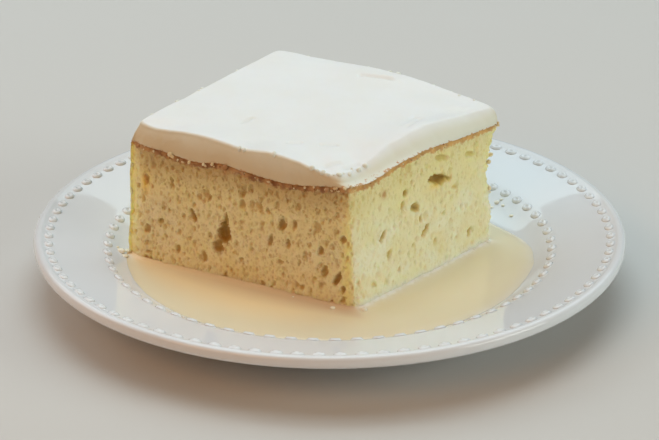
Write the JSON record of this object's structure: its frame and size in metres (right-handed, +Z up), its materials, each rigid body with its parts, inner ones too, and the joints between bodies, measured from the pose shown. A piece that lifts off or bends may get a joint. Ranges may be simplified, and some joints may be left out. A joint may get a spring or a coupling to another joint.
{
  "type": "tres leches cake on a dessert plate",
  "caption": "Square slice of open-crumbed milk-soaked sponge cake under whipped cream, standing in a shallow pool of milk on a round white plate with a beaded rim.",
  "frame": {"origin": "centre of the plate's foot ring, on the plane that it stands on", "axes": "+Z up, square to the plate; the slice shows its front corner towards -Y, with one cut side facing -X and -Y and the other facing +X and -Y"},
  "size_m": [0.2, 0.2, 0.0637],
  "materials": {
    "porcelain": "glossy white glaze",
    "soaked_sponge": "moist open crumb, pale gold, with a thin browned line at its top",
    "whipped_cream": "soft satin, spread with a spatula",
    "sweet_milk": "wet, opaque, pale caramel"
  },
  "bodies": {
    "root": {"plate": "porcelain", "sponge": "soaked_sponge", "whipped_cream": "whipped_cream", "milk": "sweet_milk"}
  },
  "joints": []
}
